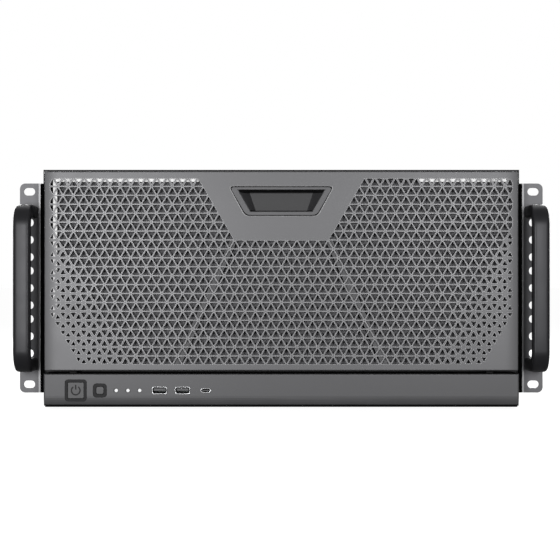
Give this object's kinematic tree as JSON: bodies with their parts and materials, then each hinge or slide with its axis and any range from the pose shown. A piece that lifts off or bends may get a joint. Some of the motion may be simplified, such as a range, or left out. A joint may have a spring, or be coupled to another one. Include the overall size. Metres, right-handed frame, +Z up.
{
  "type": "rackmount workstation",
  "caption": "Rackmount computer chassis with a drop-down triangular mesh door, control strip, rack ears and bail handles, holding fans, boards, drives and a power supply.",
  "frame": {"origin": "under the middle of the chassis width, on the floor, in the plane where the ears meet the rack rails", "axes": "+X to the right seen from the front, +Y from the front to the rear, +Z up"},
  "size_m": [0.4826, 0.4975, 0.22],
  "materials": {
    "door_plastic": "fine moulded texture",
    "trim_black": "satin",
    "light_pipe": "clear",
    "socket_metal": "bright",
    "ear_paint": "satin",
    "handle_black": "satin",
    "chassis_black": "fine powder coat",
    "zinc_steel": "zinc plated",
    "filter_fabric": "woven nylon",
    "fan_plastic": "satin",
    "circuit_board": "solder mask",
    "bare_aluminium": "satin",
    "lead_sleeve": "matte"
  },
  "bodies": {
    "chassis": {"base_tray": "chassis_black", "board_sockets": "fan_plastic", "board_standoffs": "zinc_steel", "button_surrounds": "trim_black", "button_switches": "trim_black", "catch_clips": "trim_black", "chipset_heatsink": "bare_aluminium", "control_strip": "door_plastic", "cpu_cooler_heatsink": "bare_aluminium", "cpu_fan_frame": "fan_plastic", "cross_brace": "chassis_black", "drive_cage": "zinc_steel", "front_bulkhead": "chassis_black", "front_fan_left_frame": "fan_plastic", "front_fan_right_frame": "fan_plastic", "front_io_board": "circuit_board", "graphics_card_board": "circuit_board", "graphics_card_bracket": "socket_metal", "graphics_card_shroud": "fan_plastic", "hard_drives": "bare_aluminium", "hinge_pins": "zinc_steel", "io_port_block": "socket_metal", "io_shield": "socket_metal", "led_light_pipes": "light_pipe", "left_ear": "ear_paint", "left_handle": "handle_black", "main_power_lead": "lead_sleeve", "memory_modules": "fan_plastic", "motherboard": "circuit_board", "psu_case": "chassis_black", "psu_inlet": "trim_black", "rear_fan_frame": "fan_plastic", "rear_fan_guard": "zinc_steel", "rear_panel": "chassis_black", "right_ear": "ear_paint", "right_handle": "handle_black", "slot_covers": "chassis_black", "usb_a_shells": "socket_metal", "usb_c_shell": "socket_metal", "usb_tongues": "trim_black"},
    "door": {"door_panel": "door_plastic", "door_frame": "door_plastic", "finger_cup": "door_plastic", "filter_frame": "trim_black", "filter_net": "filter_fabric", "door_ball_studs": "zinc_steel"},
    "power_button": {"power_button": "door_plastic"},
    "reset_button": {"reset_button": "door_plastic"},
    "front_fan_left_rotor": {"front_fan_left_rotor": "fan_plastic"},
    "front_fan_right_rotor": {"front_fan_right_rotor": "fan_plastic"},
    "rear_fan_rotor": {"rear_fan_rotor": "fan_plastic"},
    "cpu_fan_rotor": {"cpu_fan_rotor": "fan_plastic"},
    "psu_fan_rotor": {"psu_fan_rotor": "fan_plastic"},
    "graphics_card_rotor": {"graphics_card_rotor": "fan_plastic"},
    "psu_switch": {"psu_switch": "trim_black"},
    "top_cover": {"top_cover": "chassis_black", "cover_thumbscrews": "zinc_steel"}
  },
  "joints": [
    {"name": "door_hinge", "type": "hinge", "parent": "chassis", "child": "door", "pos_m": [0, -0.0235, 0.0405], "axis": [1, 0, 0], "range_deg": [0, 90]},
    {"name": "power_press", "type": "slide", "parent": "chassis", "child": "power_button", "axis": [0, 1, 0], "range_m": [0, 0.0012], "stiffness_N_per_m": 400},
    {"name": "reset_press", "type": "slide", "parent": "chassis", "child": "reset_button", "axis": [0, 1, 0], "range_m": [0, 0.0012], "stiffness_N_per_m": 400},
    {"name": "front_fan_left_spin", "type": "hinge", "parent": "chassis", "child": "front_fan_left_rotor", "pos_m": [-0.093, 0.017, 0.127], "axis": [0, 1, 0], "continuous": true},
    {"name": "front_fan_right_spin", "type": "hinge", "parent": "chassis", "child": "front_fan_right_rotor", "pos_m": [0.093, 0.017, 0.127], "axis": [0, 1, 0], "continuous": true},
    {"name": "rear_fan_spin", "type": "hinge", "parent": "chassis", "child": "rear_fan_rotor", "pos_m": [0.0323, 0.426, 0.14], "axis": [0, 1, 0], "continuous": true},
    {"name": "cpu_fan_spin", "type": "hinge", "parent": "chassis", "child": "cpu_fan_rotor", "pos_m": [0.0393, 0.295, 0.0988], "axis": [0, 1, 0], "continuous": true},
    {"name": "psu_fan_spin", "type": "hinge", "parent": "chassis", "child": "psu_fan_rotor", "pos_m": [0.14, 0.3588, 0.0762], "axis": [1, 0, 0], "continuous": true},
    {"name": "graphics_fan_spin", "type": "hinge", "parent": "chassis", "child": "graphics_card_rotor", "pos_m": [-0.07, 0.2319, 0.0743], "axis": [1, 0, 0], "continuous": true},
    {"name": "psu_switch_rock", "type": "hinge", "parent": "chassis", "child": "psu_switch", "pos_m": [0.1713, 0.4358, 0.0552], "axis": [1, 0, 0], "range_deg": [-14, 0]},
    {"name": "cover_slide", "type": "slide", "parent": "chassis", "child": "top_cover", "axis": [0, 1, 0], "range_m": [0, 0.012]}
  ]
}
